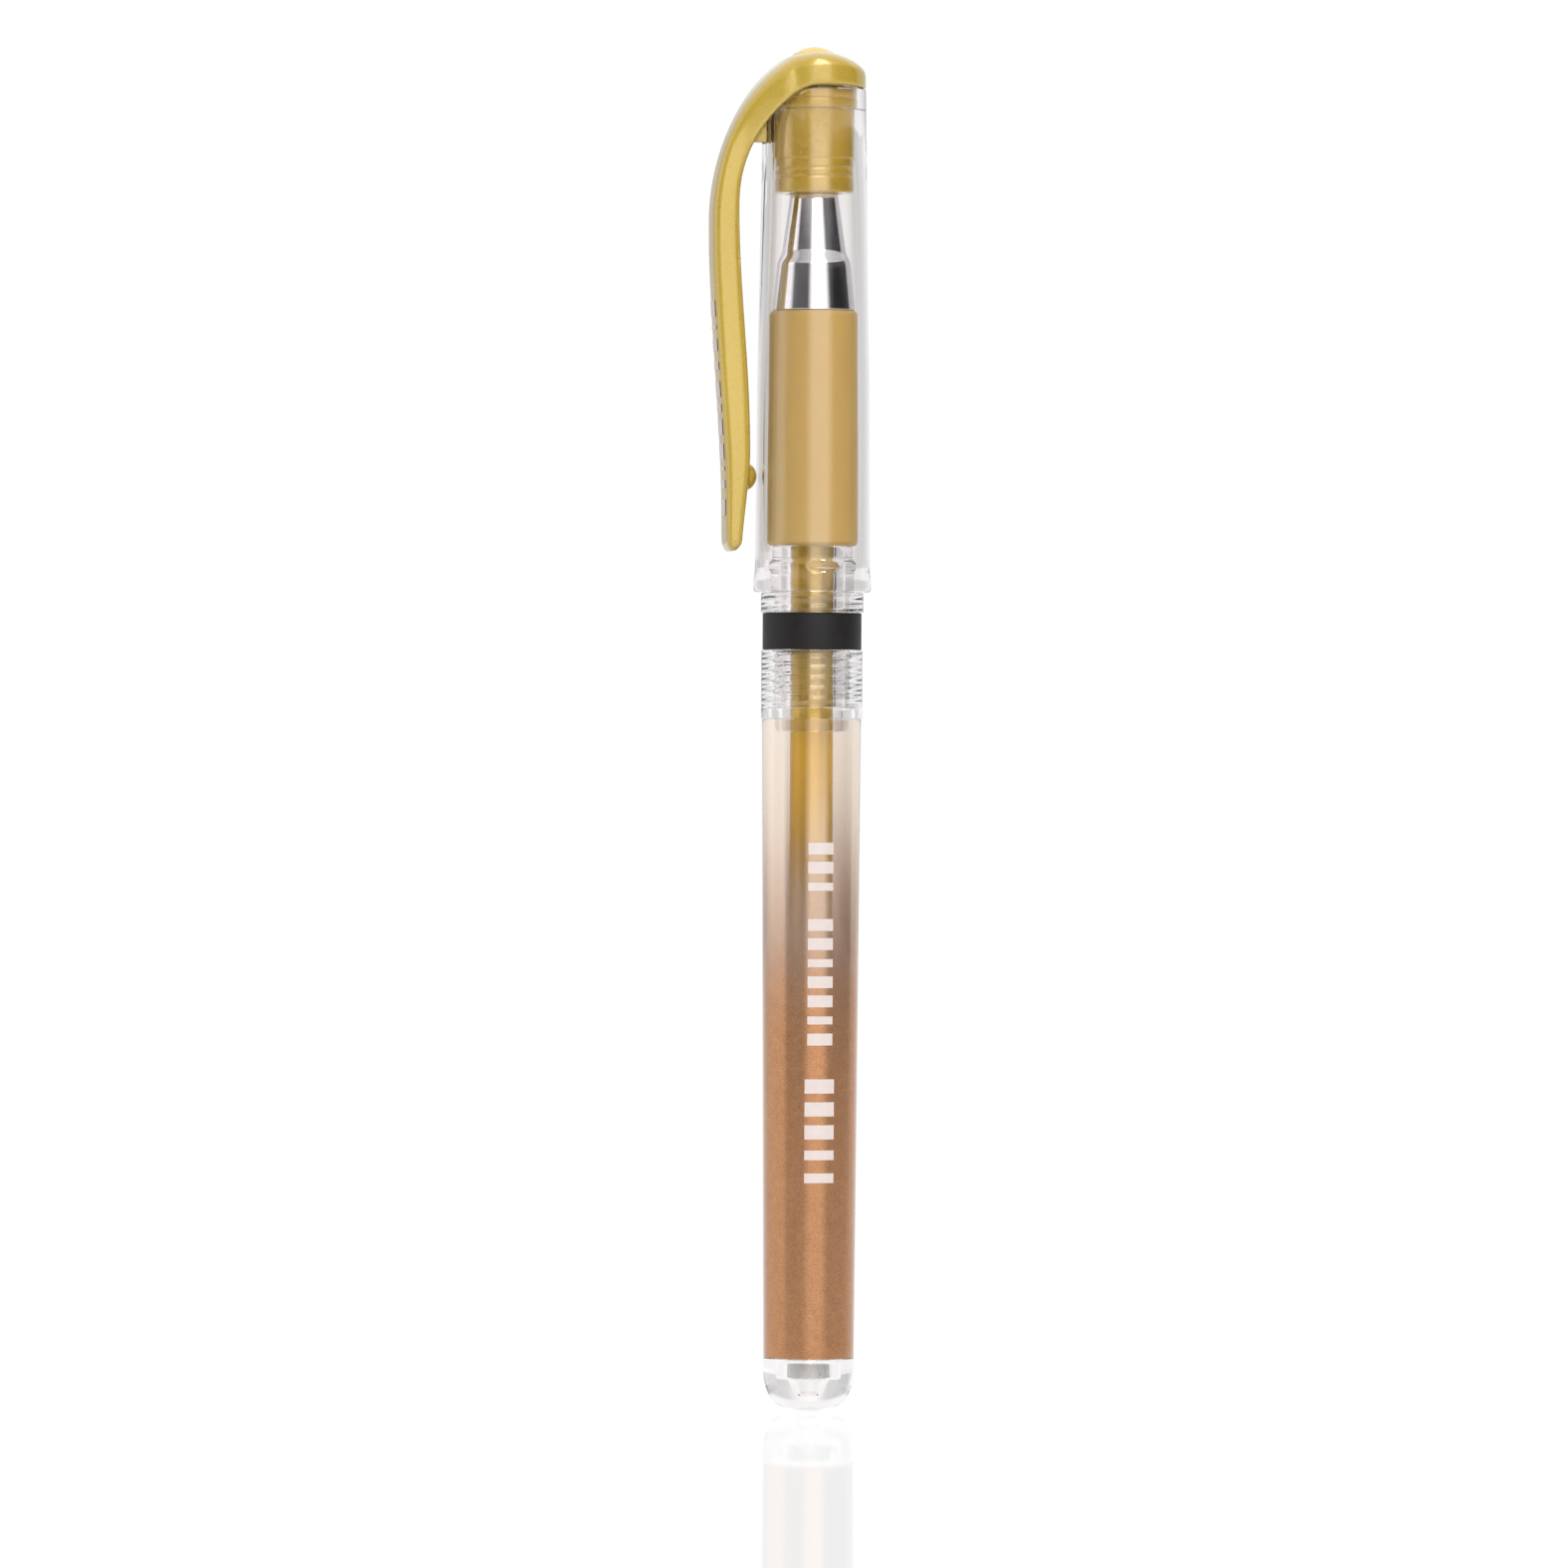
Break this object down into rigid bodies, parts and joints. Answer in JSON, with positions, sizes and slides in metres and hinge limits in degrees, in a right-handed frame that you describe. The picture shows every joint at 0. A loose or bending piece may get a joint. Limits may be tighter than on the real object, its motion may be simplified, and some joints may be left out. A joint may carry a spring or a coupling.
{
  "type": "calligraphy marker",
  "caption": "Capped metallic-ink rollerball marker: clear cap with a sprung gold clip, bright nose cone, soft grip, screw-in front section and a painted clear barrel with a refill.",
  "frame": {"origin": "centre of the small flat on the rear end of the barrel, on the pen's axis", "axes": "+Z along the pen towards the crown of the cap, the clip on the -X side, the printed front of the barrel facing -Y"},
  "size_m": [0.0179, 0.0128, 0.148],
  "materials": {
    "clear_plastic": "gloss",
    "painted_barrel": "metallic paint behind clear plastic",
    "black_band": "satin",
    "grip_rubber": "satin",
    "bright_metal": "polished",
    "gold_ink": "metallic",
    "follower_grease": "translucent",
    "white_plastic": "satin",
    "point_steel": "turned",
    "seal_rubber": "matt",
    "gold_plastic": "metallic gloss"
  },
  "bodies": {
    "barrel": {"barrel_tube": "painted_barrel", "end_plug": "clear_plastic", "thread_collar": "clear_plastic", "band_ring": "black_band"},
    "refill": {"refill_tube": "clear_plastic", "ink_column": "gold_ink", "ink_follower": "follower_grease", "point_holder": "white_plastic", "writing_point": "point_steel", "point_spring": "point_steel"},
    "ball": {"point_ball": "point_steel"},
    "section": {"front_section": "clear_plastic", "grip_sleeve": "grip_rubber", "nose_cone": "bright_metal"},
    "cap": {"cap_tube": "clear_plastic", "inner_cap": "gold_plastic", "tip_seal": "seal_rubber", "clip_crown": "gold_plastic"},
    "clip": {"clip_arm": "gold_plastic"}
  },
  "joints": [
    {"name": "refill_lift", "type": "slide", "parent": "barrel", "child": "refill", "axis": [0, 0, 1], "range_m": [0, 0.00934]},
    {"name": "section_unscrew", "type": "hinge", "parent": "refill", "child": "section", "pos_m": [0, 0, 0.1], "axis": [0, 0, 1], "range_deg": [0, 3060]},
    {"name": "cap_pull", "type": "slide", "parent": "section", "child": "cap", "axis": [0, 0, 1], "range_m": [0, 0.06]},
    {"name": "clip_flex", "type": "hinge", "parent": "cap", "child": "clip", "pos_m": [-0.007, 0, 0.143], "axis": [0, 1, 0], "range_deg": [0, 3], "stiffness_Nm_per_rad": 0.5},
    {"name": "ball_roll", "type": "hinge", "parent": "refill", "child": "ball", "pos_m": [0, 0, 0.14012], "axis": [1, 0, 0], "continuous": true}
  ],
  "couplings": [
    {"joint": "section_unscrew", "follows": "refill_lift", "rad_per_m": 5712}
  ]
}
